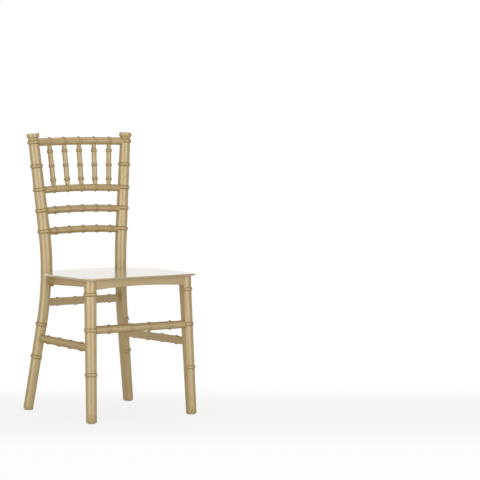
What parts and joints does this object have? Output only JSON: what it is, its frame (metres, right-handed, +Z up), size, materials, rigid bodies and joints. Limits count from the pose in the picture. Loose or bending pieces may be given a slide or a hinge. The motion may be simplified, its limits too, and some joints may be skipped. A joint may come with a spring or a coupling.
{
  "type": "chiavari chair",
  "caption": "Gold chiavari banquet chair with ringed, bent rear posts, bowed ringed back rails, turned spindles, ringed stretchers and a plain flat panel seat, standing on its own four legs.",
  "frame": {"origin": "on the floor, midway between the feet, under the middle of the chair", "axes": "+X to the chair's right side seen from the front, -Y towards the sitter's front, +Z up"},
  "size_m": [0.43, 0.4297, 0.9145],
  "materials": {
    "gold_painted_wood": "satin champagne gold paint over turned hardwood",
    "block_wood": "same gold paint, duller on the hidden corner blocks",
    "glide_plastic": "moulded translucent nylon",
    "screw_steel": "zinc plated"
  },
  "bodies": {
    "root": {"rear_post_right": "gold_painted_wood", "rear_post_left": "gold_painted_wood", "front_leg_right": "gold_painted_wood", "front_leg_left": "gold_painted_wood", "top_rail": "gold_painted_wood", "spindle_rail": "gold_painted_wood", "upper_lumbar_rail": "gold_painted_wood", "lower_lumbar_rail": "gold_painted_wood", "spindle_1": "gold_painted_wood", "spindle_2": "gold_painted_wood", "spindle_3": "gold_painted_wood", "spindle_4": "gold_painted_wood", "spindle_5": "gold_painted_wood", "front_stretcher": "gold_painted_wood", "rear_stretcher": "gold_painted_wood", "side_stretcher_right": "gold_painted_wood", "side_stretcher_left": "gold_painted_wood", "front_apron": "gold_painted_wood", "rear_apron": "gold_painted_wood", "side_apron_right": "gold_painted_wood", "side_apron_left": "gold_painted_wood", "seat_panel": "gold_painted_wood", "corner_block_front_right": "block_wood", "corner_block_front_left": "block_wood", "corner_block_rear_right": "block_wood", "corner_block_rear_left": "block_wood", "foot_glide_front_right": "glide_plastic", "foot_glide_front_left": "glide_plastic", "foot_glide_rear_right": "glide_plastic", "foot_glide_rear_left": "glide_plastic", "seat_screws": "screw_steel"}
  },
  "joints": []
}
